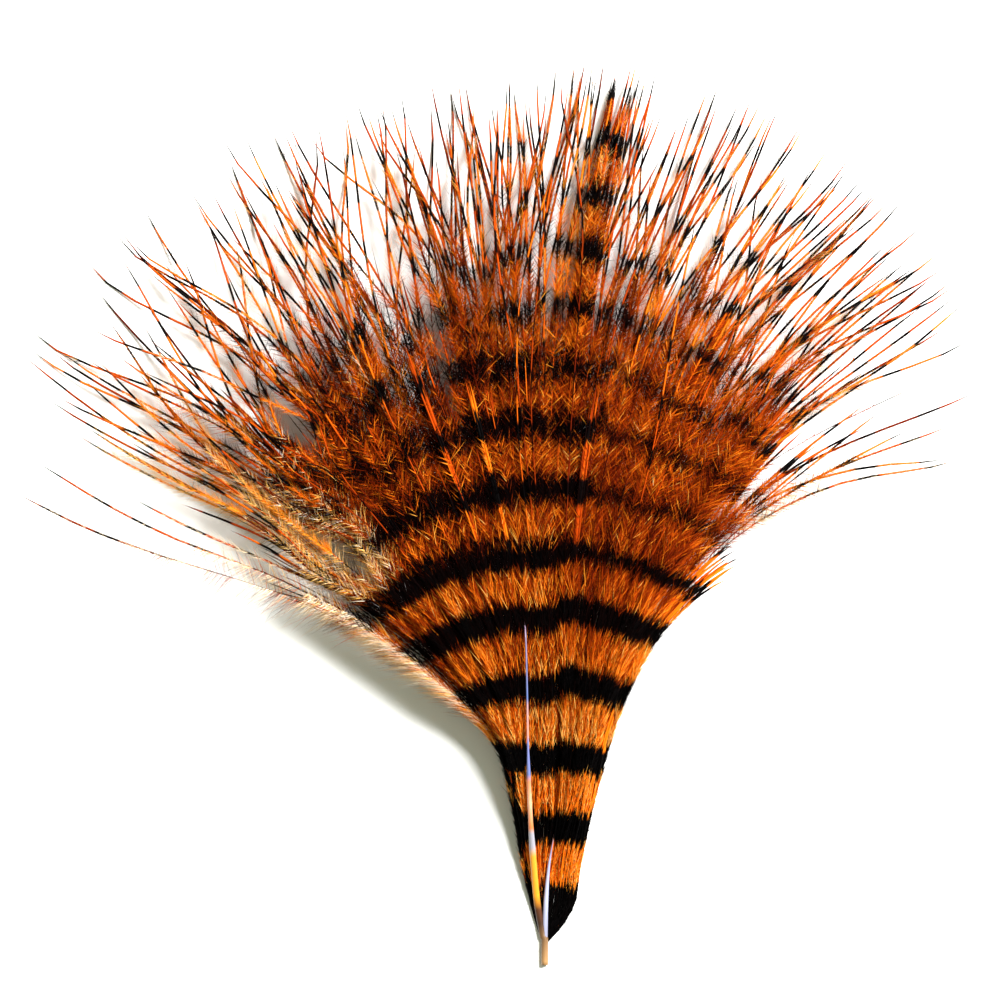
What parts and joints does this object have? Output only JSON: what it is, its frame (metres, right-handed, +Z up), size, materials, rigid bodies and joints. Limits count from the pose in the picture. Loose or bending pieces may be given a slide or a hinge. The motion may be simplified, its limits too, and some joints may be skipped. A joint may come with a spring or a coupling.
{
  "type": "marabou feather",
  "caption": "Barred marabou plume, dyed orange with black bars: a short bare quill, split shafts and a broad fan of soft locks with fine pointed tips, lying flat.",
  "frame": {"origin": "centre of the box's underside, on the surface that the feather lies on", "axes": "+X across the fan to the picture's right, +Y from the quill to the tips, +Z up out of the surface"},
  "size_m": [0.1062, 0.0988, 0.0075],
  "materials": {
    "feather_barbs": "soft matte fluff, orange with near-black bars across the barbs"
  },
  "bodies": {
    "root": {"feather": "feather_barbs"}
  },
  "joints": []
}
